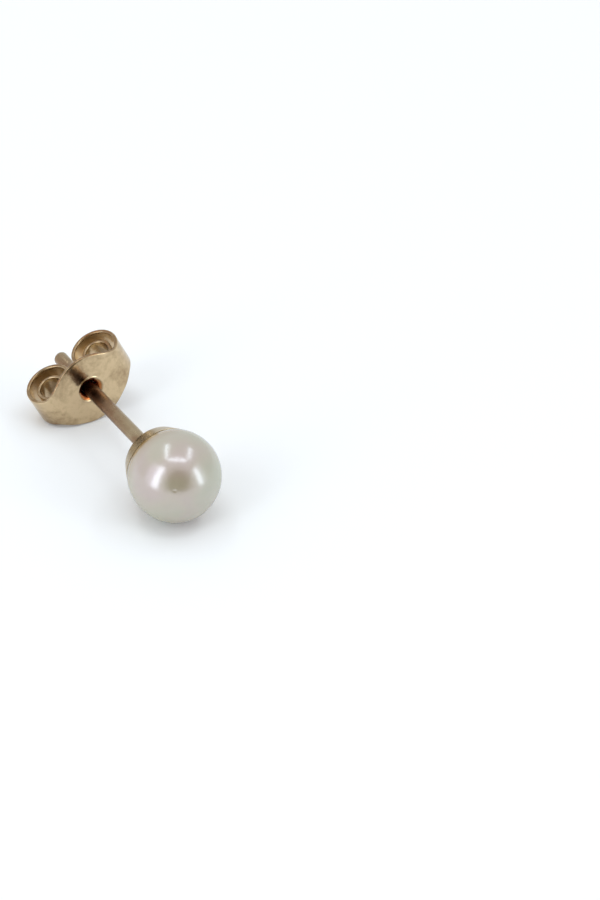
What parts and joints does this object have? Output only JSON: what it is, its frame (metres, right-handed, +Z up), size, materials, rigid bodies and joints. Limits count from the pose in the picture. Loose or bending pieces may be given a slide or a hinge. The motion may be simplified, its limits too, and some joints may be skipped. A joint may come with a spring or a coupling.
{
  "type": "pearl stud earring with butterfly back",
  "caption": "Round pearl in a dished cup on a straight ear post, with a curled sheet butterfly back sliding on the post.",
  "frame": {"origin": "middle of the bounding box at its base, on the surface the earring lies on", "axes": "+Z up, +Y along the post from the pearl toward the back, +X to the side with the raised scroll"},
  "size_m": [0.0062, 0.0154, 0.005],
  "materials": {
    "nacre": "lustrous cream nacre with pink and green overtones",
    "gold_wire": "worn polished pale gold",
    "gold_sheet": "worn polished pale gold sheet"
  },
  "bodies": {
    "earring": {"pearl": "nacre", "cup_and_post": "gold_wire"},
    "back": {"butterfly_back": "gold_sheet"}
  },
  "joints": [
    {"name": "back_slide", "type": "slide", "parent": "earring", "child": "back", "axis": [0, 0.9996, -0.0276], "range_m": [-0.0064, 0.003]}
  ]
}
